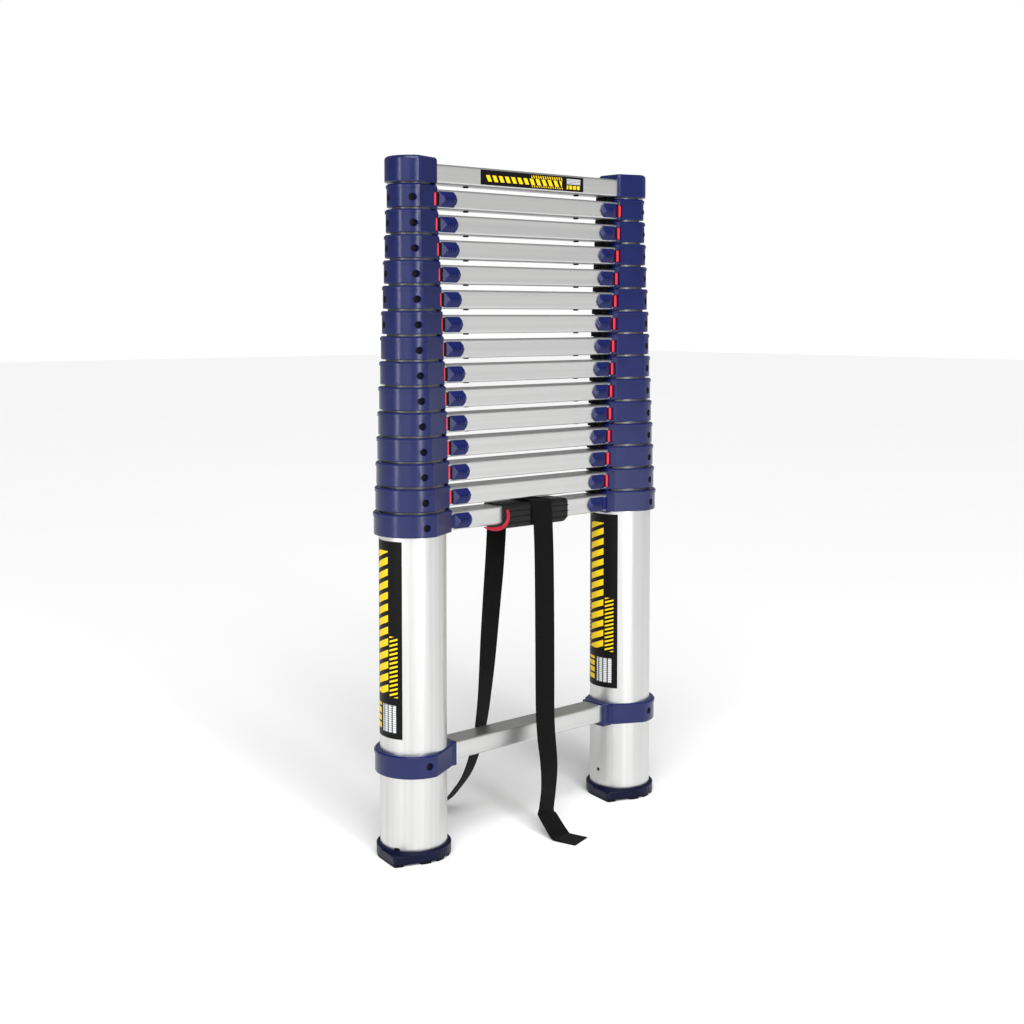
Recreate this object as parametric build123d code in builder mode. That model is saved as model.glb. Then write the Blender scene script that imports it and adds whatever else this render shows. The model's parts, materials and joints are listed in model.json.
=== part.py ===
from build123d import *

import os
from math import cos, radians, sin, tan

# Telescoping ladder, collapsed: fifteen nested tube sections, one inside the next.
# Millimetres. X runs along the rungs, -Y is the front, +Z is up.
# The origin is on the floor, midway between the two stiles.

os.makedirs("parts", exist_ok=True)

# ---------------------------------------------------------------- driving sizes
SECTIONS = 15
STILE_X = 190.0  # half the distance between the two stiles' axes
EXTENDED_PITCH = 304.8  # 12 in from rung to rung when the ladder is out
STACK_PITCH = 32.0  # rung to rung when it is collapsed
BASE_RUNG_Z = 126.0  # axis of the fixed bottom rung
FIRST_COLLAR_Z = BASE_RUNG_Z + EXTENDED_PITCH

# tubes
BASE_TUBE_R = 43.5
TUBE_R_STEP = 1.4  # each section's radius is this much smaller
TUBE_WALL = 1.1
TUBE_LENGTH = 390.0
TUBE_TOP = 12.0  # a tube ends this far above its collar's axis
DRAIN_HOLE_Z = 39.5
DRAIN_HOLE_R = 2.5
BASE_TUBE_FOOT = 10.0  # height of the base tubes' lower ends
GUIDE_GAP = 0.3  # all round, between a tube and what it slides in

# rungs
RUNG_DEPTH = 35.3
RUNG_HEIGHT = 24.4
RUNG_WALL = 1.6
RUNG_CORNER = 2.6
RUNG_RISE = 0.5  # a rung's axis above its collar's axis

# collars
BASE_COLLAR_R = 51.2  # outside radius of the base collar's rim
SLIDING_COLLAR_R = 48.9  # the same on the first sliding section
COLLAR_R_STEP = 1.36
COLLAR_BELOW = 12.0
COLLAR_ABOVE = 17.4
RIM_HEIGHT = 5.4
RIM_PROUD = 1.1  # the rim stands this far out of the body
RIM_BEVEL = 1.8
RING_WALL = 1.8  # wall between the tube and the rung's end on the smallest collar
RING_WALL_STEP = 0.12
FACET_SPREAD = 18.0  # the smallest collar's facets start this far past the front
FACET_END = 55.0  # where the largest collar's facets end, as an angle towards the rung
FACET_END_STEP = 0.38
INNER_HALF = 18.5  # half the width of the flat side that faces the rung
FLANGE_HALF = 19.5
FLANGE_BELOW = 14.0
FLANGE_ABOVE = 14.5
WINDOW_START = 20.0  # lock indicator window in the front of the smallest collar
WINDOW_STEP = 1.97
WINDOW_HEIGHT = 17.5
WINDOW_FLOOR = 17.9
SCREW_R = 4.7
SCREW_DEPTH = 4.5
SCREW_X = -17.6
SCREW_STEP = 0.32
SIDE_SCREWS_FROM = 9  # the smaller collars have a second screw, in the outer side
SPIGOT_LENGTH = 6.0

# brackets of the fixed bottom rung
BRACKET_BELOW = 15.0
BRACKET_ABOVE = 14.5
BRACKET_REACH = 54.0
BRACKET_HALF = 22.0
BRACKET_FLANGE_BELOW = 18.0
BRACKET_SCREW_X = -11.0

# latches
PIN_R = 3.5
PIN_HOLE_R = 4.5
PIN_GAP = 0.45  # between a pin's tip and the tube it locks
LATCH_TRAVEL = 4.0
BUTTON_LENGTH = 30.0
BUTTON_POINT = 6.5
BUTTON_HEIGHT = 20.0
BUTTON_BACK = RUNG_DEPTH / 2 + GUIDE_GAP
BUTTON_THICK = 4.6
BUTTON_EDGE = 1.0  # thickness left at the button's edges
BUTTON_RIDGE = 0.7  # half the width of the flat along the button's middle
BUTTON_HIP = 7.0  # length of the slope at the collar end
GRIP_GROOVES = 4
GRIP_GROOVE_PITCH = 3.2
BUTTON_START = 30.2  # smallest section's button, from the stile's axis
BUTTON_STEP = 1.85
STEM_START = 6.5
STEM_LENGTH = 10.0
STEM_HALF = 4.0
BAR_HALF_Y = 6.0
BAR_HALF_Z = 5.0
BAR_LENGTH = 24.0

# end caps
CAP_R = 34.2
CAP_FACETS = (-18.0, 54.0)
CAP_CORNER = 6.0
CAP_DOME = 4.5
CAP_BELOW = 12.5
CAP_ABOVE = 20.5

# feet
FOOT_R = 48.6
FOOT_TREAD = 3.0
FOOT_HEIGHT = 16.5
FOOT_NOSE = (-54.5, -31.0)
NOSE_TOP = 13.0
TREAD_WIDTH = 12.5
TREAD_XS = (-49.0, -14.5, 7.0, 29.0)

# hand grip and strap
GRIP_X = (-51.0, 67.0)
GRIP_HALF_DEPTH = 21.5
GRIP_Z = (412.5, 445.5)
GRIP_CORNER = 4.0
STRAP_WIDTH = 35.0
STRAP_THICK = 1.6
FRONT_STRAP_X = 6.0
REAR_STRAP_X = -48.0
# side views of the two tails as (Y, Z), from the grip down to the floor
FRONT_ROUTE = [
    (-23.4, 398), (-29, 310), (-37, 215), (-46, 140), (-58, 90),
    (-56, 54), (-60, 22), (-88, 2.4), (-120, 1.2),
]
REAR_ROUTE = [
    (23.4, 438), (24.5, 380), (23, 290), (20.6, 190), (27, 133), (39, 92),
    (55, 60), (75, 36), (93, 14), (112, 2.6), (140, 1.3),
]


def tube_r(s):
    """Outside radius of section s's tubes, 1 being the base."""
    return BASE_TUBE_R - TUBE_R_STEP * (s - 1)


def collar_r(s):
    return BASE_COLLAR_R if s == 1 else SLIDING_COLLAR_R - COLLAR_R_STEP * (s - 2)


def collar_z(s):
    """Height of section s's collar and pin axis when the ladder is collapsed."""
    return FIRST_COLLAR_Z + STACK_PITCH * (s - 1)


def rung_end(s):
    """Distance from the stile's axis to the end of section s's rung."""
    return tube_r(s) + RING_WALL + RING_WALL_STEP * (SECTIONS - 1 - s)


def button_start(s):
    """Distance from the stile's axis to a latch's button while the latch is open."""
    return BUTTON_START + BUTTON_STEP * (SECTIONS - 1 - s)


def stile_plane(z):
    """Level plane whose origin is on the left stile's axis."""
    return Plane(origin=(-STILE_X, 0, z))


def along_x(x, z):
    """Plane facing +X, x from the left stile's axis; its X is Y and its Y is Z."""
    return Plane(origin=(-STILE_X + x, 0, z), x_dir=(0, 1, 0), z_dir=(1, 0, 0))


def finish(part, node):
    part.label = node
    export_step(part, f"parts/{node}.step")


# ---------------------------------------------------------------- tubes and rungs
def make_rails_and_rung(s):
    """Both stile tubes of a section and its hollow rung (two rungs on the base)."""
    radius = tube_r(s)
    top = collar_z(s) + TUBE_TOP
    bottom = BASE_TUBE_FOOT if s == 1 else top - TUBE_LENGTH
    with BuildPart() as rails_rung:
        with BuildSketch(stile_plane(bottom)):
            Circle(radius)
            Circle(radius - TUBE_WALL, mode=Mode.SUBTRACT)
        extrude(amount=top - bottom)
        # the pin of this section's own latch passes through the wall; the lower hole is
        # where the latch of the section below locks in when this one is drawn out
        pin_holes = [] if s == SECTIONS else [collar_z(s)]
        if s > 1:
            pin_holes.append(collar_z(s - 1) - (EXTENDED_PITCH - STACK_PITCH))
        for z in pin_holes:
            with BuildSketch(along_x(0, z)):
                Circle(PIN_HOLE_R)
            extrude(amount=radius + 1, mode=Mode.SUBTRACT)
        if s == 1:
            with BuildSketch(along_x(0, DRAIN_HOLE_Z)):
                Circle(DRAIN_HOLE_R)
            extrude(amount=radius + 1, mode=Mode.SUBTRACT)
        mirror(about=Plane.YZ)
        for z in [collar_z(s)] + ([BASE_RUNG_Z] if s == 1 else []):
            end = rung_end(s)
            with BuildSketch(along_x(end, z + RUNG_RISE)):
                RectangleRounded(RUNG_DEPTH, RUNG_HEIGHT, RUNG_CORNER)
                RectangleRounded(
                    RUNG_DEPTH - 2 * RUNG_WALL, RUNG_HEIGHT - 2 * RUNG_WALL, 1.0, mode=Mode.SUBTRACT
                )
            extrude(amount=2 * (STILE_X - end))
        if s < SECTIONS:
            # slots in the rung's front wall for the stems of its two latches
            slot_start = button_start(s) + STEM_START - 0.6
            slot_length = STEM_LENGTH + LATCH_TRAVEL + 1.2
            slot_x = STILE_X - slot_start - slot_length / 2
            with BuildSketch(Plane.XZ.offset(RUNG_DEPTH / 2 + 1)):
                with Locations((-slot_x, collar_z(s)), (slot_x, collar_z(s))):
                    Rectangle(slot_length, 2 * STEM_HALF + 0.8)
            extrude(amount=-(RUNG_WALL + 2), mode=Mode.SUBTRACT)
    finish(rails_rung.part, f"rails_rung_{s:02d}")


# ---------------------------------------------------------------- collars
def ring_outline(radius, facet_start, facet_end, flat=None):
    """Round outer side, a flat facet front and back, and a flat side towards the rung.

    Without a distance for the flat side, it joins the ends of the two facets.
    """
    start, end = radians(facet_start), radians(facet_end)
    near_x, near_y = radius * sin(start), radius * cos(start)
    far_x, far_y = radius * sin(end), radius * cos(end)
    inner = [] if flat is None else [(flat, -INNER_HALF), (flat, INNER_HALF)]
    with BuildSketch() as outline:
        with BuildLine():
            ThreePointArc((near_x, near_y), (-radius, 0), (near_x, -near_y))
            Polyline((near_x, -near_y), (far_x, -far_y), *inner, (far_x, far_y), (near_x, near_y))
        make_face()
    return outline.sketch


def make_ring(z, below, above, radius, facet_start, facet_end, flat):
    """Waisted ring for the left stile, rounded below, with a bevelled rim at its top."""
    with BuildPart() as ring:
        with BuildSketch(stile_plane(z - below)):
            add(ring_outline(radius - RIM_PROUD, facet_start, facet_end, flat))
        extrude(amount=below + above)
        fillet(ring.faces().sort_by(Axis.Z)[0].outer_wire().edges(), 1.2)
        with BuildSketch(stile_plane(z + above - RIM_HEIGHT)):
            add(ring_outline(radius, facet_start, facet_end, flat))
        extrude(amount=RIM_HEIGHT)
        chamfer(ring.faces().sort_by(Axis.Z)[-1].outer_wire().edges(), RIM_BEVEL)
    return ring.part


def screw_recess(radius, x, z):
    """Round recess to cut in the front of the left ring, for a screw's head."""
    with BuildPart() as recess:
        with BuildSketch(Plane.XZ.offset((radius**2 - x**2) ** 0.5 - SCREW_DEPTH)):
            with Locations((x - STILE_X, z)):
                Circle(SCREW_R)
        extrude(amount=SCREW_DEPTH + 4)
    return recess.part


def make_plug(s):
    """Bush in the lower end of a tube, with an air hole."""
    radius = tube_r(s)
    bottom = collar_z(s) + TUBE_TOP - TUBE_LENGTH
    with BuildPart() as plug:
        with BuildSketch(stile_plane(bottom - 3)):
            Circle(radius - 0.1)
            Circle(3.5, mode=Mode.SUBTRACT)
        extrude(amount=3)
        with BuildSketch(stile_plane(bottom)):
            Circle(radius - TUBE_WALL)
            Circle(radius - TUBE_WALL - 2.2, mode=Mode.SUBTRACT)
        extrude(amount=18)
    return plug.part


def make_collars(s):
    """Left and right collar at the top of a section, and the bushes in its tubes."""
    radius, tube, z, flat = collar_r(s), tube_r(s), collar_z(s), rung_end(s)
    facet_start = -FACET_SPREAD * (s - 1) / (SECTIONS - 2)
    facet_end = FACET_END - FACET_END_STEP * (s - 1)
    ring = make_ring(z, COLLAR_BELOW, COLLAR_ABOVE, radius, facet_start, facet_end, flat)
    with BuildPart() as collars:
        add(ring)
        with BuildSketch(along_x(0, z)):
            with Locations((0, (FLANGE_ABOVE - FLANGE_BELOW) / 2)):
                RectangleRounded(2 * FLANGE_HALF, FLANGE_ABOVE + FLANGE_BELOW, 1.6)
        extrude(amount=flat)
        with BuildSketch(along_x(flat, z + RUNG_RISE)):
            RectangleRounded(RUNG_DEPTH - 2 * RUNG_WALL, RUNG_HEIGHT - 2 * RUNG_WALL, 1.0)
        extrude(amount=SPIGOT_LENGTH)
        # bore for the tube, and a lip above it that guides the next tube
        with BuildSketch(stile_plane(z - FLANGE_BELOW - 1)):
            Circle(tube)
        extrude(amount=FLANGE_BELOW + 1 + TUBE_TOP, mode=Mode.SUBTRACT)
        with BuildSketch(stile_plane(z)):
            Circle(tube_r(s + 1) + GUIDE_GAP)
        extrude(amount=COLLAR_ABOVE + 1, mode=Mode.SUBTRACT)
        with BuildSketch(along_x(tube - 8, z)):
            Circle(PIN_HOLE_R)
        extrude(amount=60, mode=Mode.SUBTRACT)
        if s > 1:
            window_start = WINDOW_START + WINDOW_STEP * (SECTIONS - 1 - s)
            with BuildSketch(Plane.XZ.offset(WINDOW_FLOOR)):
                with Locations((window_start - STILE_X, z)):
                    Rectangle(
                        flat - window_start + 1, WINDOW_HEIGHT, align=(Align.MIN, Align.CENTER)
                    )
            extrude(amount=radius, mode=Mode.SUBTRACT)
        add(screw_recess(radius, SCREW_X + SCREW_STEP * (SECTIONS - 1 - s), z), mode=Mode.SUBTRACT)
        if s >= SIDE_SCREWS_FROM:
            with BuildSketch(along_x(-radius - 2, z)):
                with Locations((radius * 0.26, 0)):
                    Circle(SCREW_R)
            extrude(amount=2 + SCREW_DEPTH, mode=Mode.SUBTRACT)
        if s > 1:
            add(make_plug(s))
        else:
            add(make_bracket())
        mirror(about=Plane.YZ)
    finish(collars.part, f"collars_{s:02d}")


def make_bracket():
    """Ring and socket that tie the fixed bottom rung to the left base tube."""
    z = BASE_RUNG_Z
    with BuildPart() as bracket:
        add(make_ring(z, BRACKET_BELOW, BRACKET_ABOVE, BASE_COLLAR_R, 0, FACET_END, rung_end(1)))
        with BuildSketch(along_x(0, z)):
            with Locations((0, (BRACKET_ABOVE - BRACKET_FLANGE_BELOW) / 2)):
                RectangleRounded(2 * BRACKET_HALF, BRACKET_ABOVE + BRACKET_FLANGE_BELOW - 0.4, 2.4)
        extrude(amount=BRACKET_REACH)
        with BuildSketch(stile_plane(z - BRACKET_FLANGE_BELOW - 1)):
            Circle(BASE_TUBE_R)
        extrude(amount=BRACKET_FLANGE_BELOW + BRACKET_ABOVE + 2, mode=Mode.SUBTRACT)
        with BuildSketch(along_x(rung_end(1), z + RUNG_RISE)):
            RectangleRounded(RUNG_DEPTH, RUNG_HEIGHT, RUNG_CORNER)
        extrude(amount=BRACKET_REACH, mode=Mode.SUBTRACT)
        add(screw_recess(BASE_COLLAR_R, BRACKET_SCREW_X, z), mode=Mode.SUBTRACT)
    return bracket.part


# ---------------------------------------------------------------- end caps
def make_caps():
    """Domed caps on the smallest tubes, which also hold the top rung."""
    s = SECTIONS
    z, tube = collar_z(s), tube_r(s)
    with BuildPart() as caps:
        with BuildSketch(stile_plane(z - CAP_BELOW)):
            add(ring_outline(CAP_R, *CAP_FACETS))
            fillet(vertices(), CAP_CORNER)
        extrude(amount=CAP_BELOW + CAP_ABOVE)
        fillet(caps.faces().sort_by(Axis.Z)[-1].outer_wire().edges(), CAP_DOME)
        chamfer(caps.faces().sort_by(Axis.Z)[0].outer_wire().edges(), 1.2)
        with BuildSketch(stile_plane(z - CAP_BELOW - 1)):
            Circle(tube)
        extrude(amount=CAP_BELOW + 1 + TUBE_TOP, mode=Mode.SUBTRACT)
        with BuildSketch(along_x(rung_end(s), z + RUNG_RISE)):
            RectangleRounded(RUNG_DEPTH, RUNG_HEIGHT, RUNG_CORNER)
        extrude(amount=30, mode=Mode.SUBTRACT)
        with BuildSketch(along_x(rung_end(s), z + RUNG_RISE)):
            RectangleRounded(RUNG_DEPTH - 2 * RUNG_WALL, RUNG_HEIGHT - 2 * RUNG_WALL, 1.0)
        extrude(amount=2 * SPIGOT_LENGTH)
        add(make_plug(s))
        mirror(about=Plane.YZ)
    finish(caps.part, f"caps_{s:02d}")


# ---------------------------------------------------------------- latches
def make_latch(s):
    """Thumb button, stem, slider bar and locking pin of a left latch, in one piece."""
    z = collar_z(s)
    start = button_start(s)
    half = BUTTON_HEIGHT / 2
    x0 = -STILE_X + start
    with BuildPart() as latch:
        with BuildSketch(Plane.XZ.offset(BUTTON_BACK)):
            with BuildLine():
                Polyline(
                    (x0, z - half),
                    (x0 + BUTTON_LENGTH - BUTTON_POINT, z - half),
                    (x0 + BUTTON_LENGTH, z),
                    (x0 + BUTTON_LENGTH - BUTTON_POINT, z + half),
                    (x0, z + half),
                    close=True,
                )
            make_face()
        extrude(amount=BUTTON_THICK)
        # front worked to a hipped roof: an upper and a lower slope, and one at each end
        front = -BUTTON_BACK - BUTTON_THICK
        edge = -BUTTON_BACK - BUTTON_EDGE
        for side in (-1, 1):
            with BuildSketch(Plane.YZ.offset(x0 - 1)):
                with BuildLine():
                    Polyline(
                        (front - 1, z + side * (half + 1)),
                        (front - 1, z + side * BUTTON_RIDGE),
                        (front, z + side * BUTTON_RIDGE),
                        (edge, z + side * (half + 0.01)),
                        (edge, z + side * (half + 1)),
                        close=True,
                    )
                make_face()
            extrude(amount=BUTTON_LENGTH + 2, mode=Mode.SUBTRACT)
        for end, slope in ((x0, BUTTON_HIP), (x0 + BUTTON_LENGTH, -BUTTON_POINT)):
            outward = -1 if slope > 0 else 1
            with BuildSketch(Plane.XY.offset(z - half - 1)):
                with BuildLine():
                    Polyline(
                        (end + outward, front - 1),
                        (end + slope, front - 1),
                        (end + slope, front),
                        (end + 0.01 * outward, edge),
                        (end + outward, edge),
                        close=True,
                    )
                make_face()
            extrude(amount=BUTTON_HEIGHT + 2, mode=Mode.SUBTRACT)
        # thumb grooves, which run out where the slopes fall away
        with BuildSketch(Plane.XZ.offset(BUTTON_BACK + BUTTON_THICK - 1.4)):
            with Locations((x0 + BUTTON_HIP + GRIP_GROOVE_PITCH * (GRIP_GROOVES + 1) / 2, z)):
                with GridLocations(GRIP_GROOVE_PITCH, 0, GRIP_GROOVES, 1):
                    Rectangle(1.1, BUTTON_HEIGHT)
        extrude(amount=3, mode=Mode.SUBTRACT)
        # stem through the rung's slot, and the slider bar behind it
        stem_x = x0 + STEM_START
        with BuildSketch(Plane.XZ.offset(BUTTON_BACK)):
            with Locations((stem_x + STEM_LENGTH / 2, z)):
                Rectangle(STEM_LENGTH, 2 * STEM_HALF)
        extrude(amount=-(BUTTON_BACK - BAR_HALF_Y))
        bar_x = max(x0, -STILE_X + rung_end(s) + SPIGOT_LENGTH + 0.6)
        with BuildSketch(Plane(origin=(bar_x, 0, z), x_dir=(0, 1, 0), z_dir=(1, 0, 0))):
            RectangleRounded(2 * BAR_HALF_Y, 2 * BAR_HALF_Z, 1.0)
        extrude(amount=BAR_LENGTH)
        # steel pin towards the tube
        tip = -STILE_X + tube_r(s + 1) + PIN_GAP
        with BuildSketch(Plane(origin=(tip, 0, z), x_dir=(0, 1, 0), z_dir=(1, 0, 0))):
            Circle(PIN_R)
        extrude(amount=bar_x - tip + 1)
        chamfer(latch.faces().filter_by(Axis.X).sort_by(Axis.X)[0].edges(), 0.6)
    finish(latch.part, f"latch_left_{s:02d}")
    with BuildPart() as right_latch:
        add(mirror(latch.part, about=Plane.YZ, mode=Mode.PRIVATE))
    finish(right_latch.part, f"latch_right_{s:02d}")


# ---------------------------------------------------------------- feet and grip
def foot_outline():
    """Plan of the left shoe: round, with a blunt nose at its outer front corner."""
    with BuildSketch() as outline:
        Circle(FOOT_R)
        with BuildLine():
            Polyline((0, 0), (-47.8, 8.6), FOOT_NOSE, (-17.4, -45.4), close=True)
        make_face()
        fillet(outline.vertices().filter_by(lambda corner: corner.X < -50), 4.0)
    return outline.sketch


def make_foot():
    """Rubber shoe of the left base tube, with ribs on its sole."""
    with BuildPart() as foot:
        with BuildSketch(stile_plane(FOOT_TREAD)):
            Circle(FOOT_R)
        extrude(amount=FOOT_HEIGHT - FOOT_TREAD)
        chamfer(foot.faces().sort_by(Axis.Z)[-1].outer_wire().edges(), 1.5)
        with BuildSketch(stile_plane(FOOT_TREAD)):
            add(foot_outline())
        extrude(amount=NOSE_TOP - FOOT_TREAD)
        with BuildSketch(stile_plane(BASE_TUBE_FOOT)):
            Circle(BASE_TUBE_R)
        extrude(amount=FOOT_HEIGHT, mode=Mode.SUBTRACT)
        with BuildSketch(stile_plane(0)):
            with Locations(*((x, 0) for x in TREAD_XS)):
                Rectangle(TREAD_WIDTH, 120)
            add(offset(foot_outline(), -0.6, mode=Mode.PRIVATE), mode=Mode.INTERSECT)
        extrude(amount=FOOT_TREAD)
    return foot.part


def make_feet_and_grip():
    """Two equal shoes on the base tubes, and the hand grip wrapped round the first rung."""
    foot = make_foot()
    with BuildPart() as rubber:
        with Locations((0, 0, 0), (2 * STILE_X, 0, 0)):
            add(foot)
        with BuildSketch(Plane.YZ.offset(GRIP_X[0])):
            with Locations((0, sum(GRIP_Z) / 2)):
                RectangleRounded(2 * GRIP_HALF_DEPTH, GRIP_Z[1] - GRIP_Z[0], GRIP_CORNER)
            with Locations((0, collar_z(1) + RUNG_RISE)):
                RectangleRounded(RUNG_DEPTH, RUNG_HEIGHT, RUNG_CORNER, mode=Mode.SUBTRACT)
        extrude(amount=GRIP_X[1] - GRIP_X[0])
    finish(rubber.part, "feet_and_grip")


# ---------------------------------------------------------------- strap
def route_radii(points):
    """Arc for each corner of a route, as large as the runs beside it allow."""
    runs = [Vector(*end) - Vector(*start) for start, end in zip(points, points[1:])]
    radii = []
    for before, after in zip(runs, runs[1:]):
        half_turn = radians(before.get_angle(after)) / 2
        radii.append(0.45 * min(before.length, after.length) / tan(half_turn))
    return radii


def band(x, points, radii):
    """Flat webbing whose side view is a run of straights and tangent arcs."""
    with BuildPart() as webbing:
        with BuildSketch(Plane.YZ.offset(x - STRAP_WIDTH / 2)):
            with BuildLine() as route:
                FilletPolyline(*points, radius=radii)
            trace(route.wires()[0], line_width=STRAP_THICK)
        extrude(amount=STRAP_WIDTH)
    print("strap", "radii", [round(radius) for radius in radii], "length", round(route.wires()[0].length))
    return webbing.part


def make_strap():
    """The two tails of the carrying strap; the front one is wrapped over the grip."""
    over = GRIP_Z[1] + 0.6 + STRAP_THICK / 2
    behind = GRIP_HALF_DEPTH + 0.6 + STRAP_THICK / 2
    front_radii = route_radii(FRONT_ROUTE)
    rear_radii = route_radii(REAR_ROUTE)
    wrap = [(behind, GRIP_Z[0] + 6), (behind, over), (-behind, over)]
    wrap_radii = [GRIP_CORNER, GRIP_CORNER, route_radii([wrap[-1], *FRONT_ROUTE[:2]])[0]]
    with BuildPart() as strap:
        add(band(FRONT_STRAP_X, wrap + FRONT_ROUTE, wrap_radii + front_radii))
        add(band(REAR_STRAP_X, REAR_ROUTE, rear_radii))
    finish(strap.part, "carry_strap")


for section in range(1, SECTIONS + 1):
    make_rails_and_rung(section)
    if section < SECTIONS:
        make_collars(section)
        make_latch(section)
make_caps()
make_feet_and_grip()
make_strap()
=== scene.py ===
# %% [markdown]
# # A collapsed telescoping ladder
# Fifteen pairs of aluminium tubes slide into each other. Every level has a hollow rung, and all but the top
# one have two moulded collars and two thumb latches. The frame holds those as exact shapes. This lesson
# gives them their finishes, and models what makes the ladder look handled and real: lock indicators,
# spacers, screws, rubber feet, a foam grip, a webbing strap and labels. Every size is in metres, +X runs
# along the rungs, -Y is the front.

# %% Load the frame
import json
import math

import bmesh
import bpy
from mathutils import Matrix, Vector

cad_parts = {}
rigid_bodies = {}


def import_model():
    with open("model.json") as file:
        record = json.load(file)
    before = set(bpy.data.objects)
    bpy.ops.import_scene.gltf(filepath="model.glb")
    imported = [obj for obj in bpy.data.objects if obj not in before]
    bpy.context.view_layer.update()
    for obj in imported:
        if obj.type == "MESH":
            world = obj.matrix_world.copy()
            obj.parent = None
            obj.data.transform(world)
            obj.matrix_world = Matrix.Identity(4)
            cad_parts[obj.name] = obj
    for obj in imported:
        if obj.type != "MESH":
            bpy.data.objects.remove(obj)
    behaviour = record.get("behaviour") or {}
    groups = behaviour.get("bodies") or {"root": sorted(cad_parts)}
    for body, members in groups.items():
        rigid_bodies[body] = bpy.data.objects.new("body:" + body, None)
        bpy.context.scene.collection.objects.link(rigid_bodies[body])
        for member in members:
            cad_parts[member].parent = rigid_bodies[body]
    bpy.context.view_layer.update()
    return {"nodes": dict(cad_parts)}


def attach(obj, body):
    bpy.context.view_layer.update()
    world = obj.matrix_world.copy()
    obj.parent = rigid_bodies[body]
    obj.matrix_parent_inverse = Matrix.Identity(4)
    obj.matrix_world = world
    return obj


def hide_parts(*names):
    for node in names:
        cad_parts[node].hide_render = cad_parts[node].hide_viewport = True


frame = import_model()

# %% [markdown]
# ## Measurements
# A ladder repeats itself, so a few driving sizes are enough. Sections are counted from the base, which is 1.
# Each section's tube is thinner than the one below by the same step, and its collar sits one stack pitch
# higher.

# %% Driving sizes
SECTIONS = 15
LEFT, RIGHT = -1, 1
HANDS = {LEFT: "left", RIGHT: "right"}
STILE_X = 0.190  # half the distance between the two stiles' axes
BASE_RUNG_Z = 0.1260  # axis of the fixed bottom rung
FIRST_COLLAR_Z = 0.4308
STACK_PITCH = 0.032
BASE_TUBE_R = 0.0435
TUBE_R_STEP = 0.0014
RING_WALL = 0.0018  # wall between tube and rung in the smallest collar
RING_WALL_STEP = 0.00012
RUNG_HALF_DEPTH = 0.01765
RUNG_HALF_HEIGHT = 0.0122
RUNG_RISE = 0.0005  # a rung's axis above its collar's axis


def collar_z(section):
    """Height of a section's collar and latch while the ladder is collapsed."""
    return FIRST_COLLAR_Z + STACK_PITCH * (section - 1)


def below_top_collar(section):
    """How many levels a section's collar is below the smallest one."""
    return SECTIONS - 1 - section


def rung_end(section):
    """Distance from the stile's axis to the end of the rung."""
    tube = BASE_TUBE_R - TUBE_R_STEP * (section - 1)
    return tube + RING_WALL + RING_WALL_STEP * below_top_collar(section)


def body_of(section):
    return f"section_{section:02d}"


print("collar heights from", collar_z(1), "to", round(collar_z(SECTIONS), 4))


# %% [markdown]
# ## The camera
# The ladder is seen from its left front, a little above the middle, with a lens somewhat longer than normal.
# The view is level enough for the stiles to stay nearly upright, and a small shift moves the picture down
# instead of tilting the camera, as an architecture photographer would.

# %% Camera
CAMERA_PLACE = (-1.320, -1.488, 0.698)
CAMERA_TILT, CAMERA_HEADING = 86.68, -41.14  # degrees
CAMERA_LENS = 51.2  # millimetres, on a sensor 36 mm wide
CAMERA_SHIFT = -0.109


def add_camera():
    data = bpy.data.cameras.new("studio_camera")
    data.sensor_width = 36
    data.lens = CAMERA_LENS
    data.shift_y = CAMERA_SHIFT
    data.clip_end = 50
    camera = bpy.data.objects.new("studio_camera", data)
    bpy.context.collection.objects.link(camera)
    camera.location = CAMERA_PLACE
    camera.rotation_euler = (math.radians(CAMERA_TILT), 0, math.radians(CAMERA_HEADING))
    bpy.context.scene.camera = camera


add_camera()
print("camera at", CAMERA_PLACE, "with a lens of", CAMERA_LENS)

# %% [markdown]
# ## Hand tools
# Small helpers stand for things a modeller does by hand all the time: let go of everything, take hold of
# one piece, add a block or a rod, pick faces or edges by where they are, and round off what is sharp.

# %% Modelling helpers
HAIR = 0.0001  # two places closer than this count as the same
ROD_SIDES = 24


def let_go():
    if bpy.context.object and bpy.context.object.mode != "OBJECT":
        bpy.ops.object.mode_set(mode="OBJECT")
    bpy.ops.object.select_all(action="DESELECT")


def take(piece):
    """Select one piece and make it the active one."""
    let_go()
    piece.select_set(True)
    bpy.context.view_layer.objects.active = piece


def smooth(degrees):
    """Shade the active piece smooth where its faces meet at less than an angle."""
    bpy.ops.object.shade_smooth_by_angle(angle=math.radians(degrees))


def add_block(name, low, high):
    """Block between two corners, with its place applied to its mesh."""
    let_go()
    middle = [(a + b) / 2 for a, b in zip(low, high)]
    size = [b - a for a, b in zip(low, high)]
    bpy.ops.mesh.primitive_cube_add(size=1, location=middle, scale=size)
    piece = bpy.context.object
    piece.name = name
    bpy.ops.object.transform_apply(location=True, rotation=True, scale=True)
    return piece


def add_rod(name, start, axis, radius, length):
    """Cylinder from a starting point along X, Y or Z, with its place applied to its mesh."""
    let_go()
    direction = {"X": Vector((1, 0, 0)), "Y": Vector((0, 1, 0)), "Z": Vector((0, 0, 1))}[axis]
    turn = {"X": (0, math.pi / 2, 0), "Y": (math.pi / 2, 0, 0), "Z": (0, 0, 0)}[axis]
    bpy.ops.mesh.primitive_cylinder_add(
        vertices=ROD_SIDES, radius=radius, depth=abs(length), rotation=turn,
        location=Vector(start) + direction * length / 2,
    )
    piece = bpy.context.object
    piece.name = name
    bpy.ops.object.transform_apply(location=True, rotation=True, scale=True)
    return piece


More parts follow.
